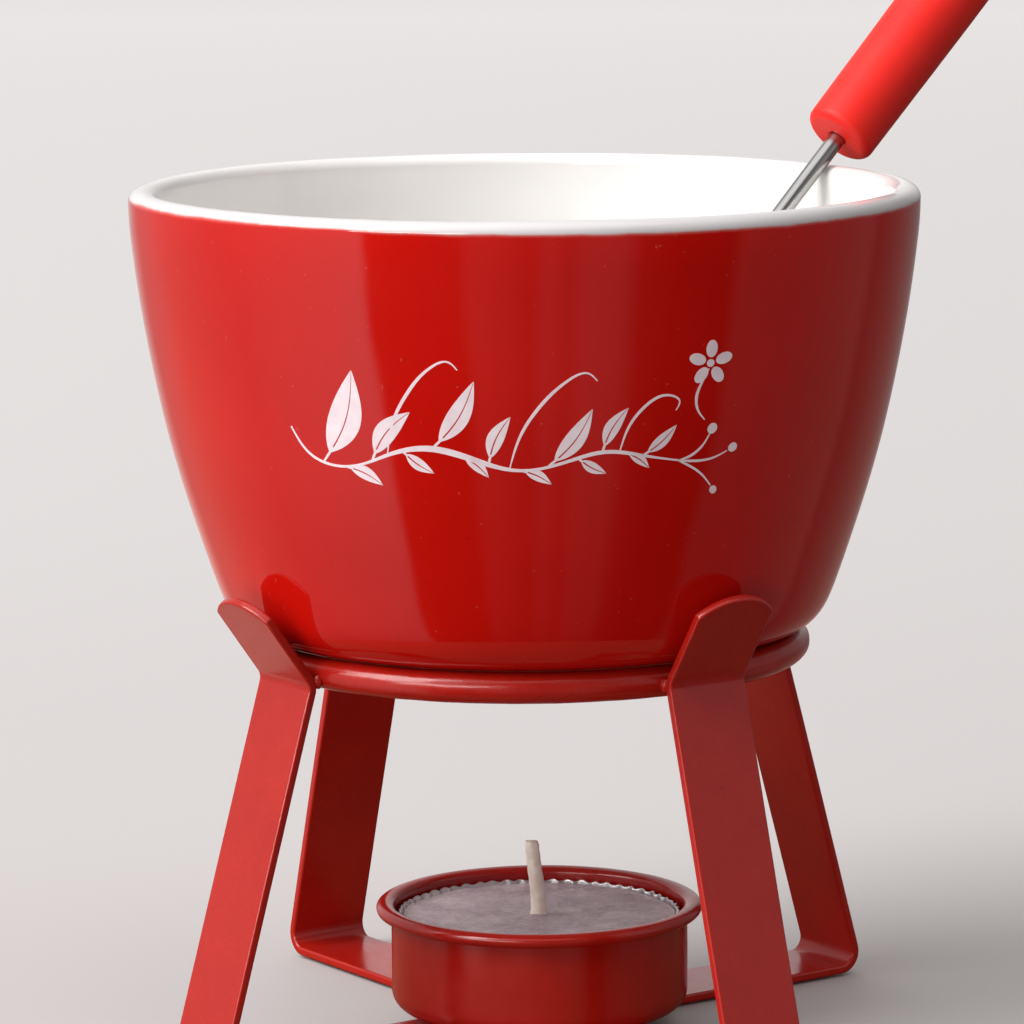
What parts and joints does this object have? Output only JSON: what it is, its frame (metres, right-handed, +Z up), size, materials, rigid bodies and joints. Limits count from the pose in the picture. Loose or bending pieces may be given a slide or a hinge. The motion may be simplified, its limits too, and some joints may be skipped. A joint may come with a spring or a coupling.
{
  "type": "fondue pot set",
  "caption": "Small glazed fondue bowl on a bent-strip stand with a seat ring, a tealight in a metal cup under it and a long-handled fork standing in the bowl.",
  "frame": {"origin": "on the floor under the middle of the stand, on the bowl's axis, at the underside of the lower leg strip", "axes": "+Z up along the bowl's axis; -Y is the decorated front of the bowl, +X to the right of it"},
  "size_m": [0.1458, 0.1188, 0.1767],
  "materials": {
    "bowl_glaze": "gloss",
    "stand_paint": "satin powder coat",
    "cup_paint": "gloss paint",
    "tealight_aluminium": "thin drawn foil",
    "wax": "waxy, slightly translucent",
    "wick_cotton": "braided, waxed",
    "wick_tab_steel": "stamped",
    "fork_steel": "polished round wire",
    "fork_handle_plastic": "satin moulded"
  },
  "bodies": {
    "stand": {"leg_strip_lower": "stand_paint", "leg_strip_upper": "stand_paint", "support_ring": "stand_paint", "ring_welds": "stand_paint", "candle_cup": "cup_paint"},
    "bowl": {"bowl": "bowl_glaze"},
    "fork": {"fork_shaft": "fork_steel", "fork_handle": "fork_handle_plastic"},
    "tealight": {"tealight_shell": "tealight_aluminium", "tealight_wax": "wax", "wick": "wick_cotton", "wick_tab": "wick_tab_steel"}
  },
  "joints": [
    {"name": "bowl_lift", "type": "slide", "parent": "stand", "child": "bowl", "axis": [0, 0, 1], "range_m": [0, 0.08]},
    {"name": "tealight_lift", "type": "slide", "parent": "stand", "child": "tealight", "axis": [0, 0, 1], "range_m": [0, 0.024]},
    {"name": "fork_lift", "type": "slide", "parent": "bowl", "child": "fork", "axis": [0.5769, 0.4229, 0.6988], "range_m": [0, 0.09]}
  ]
}
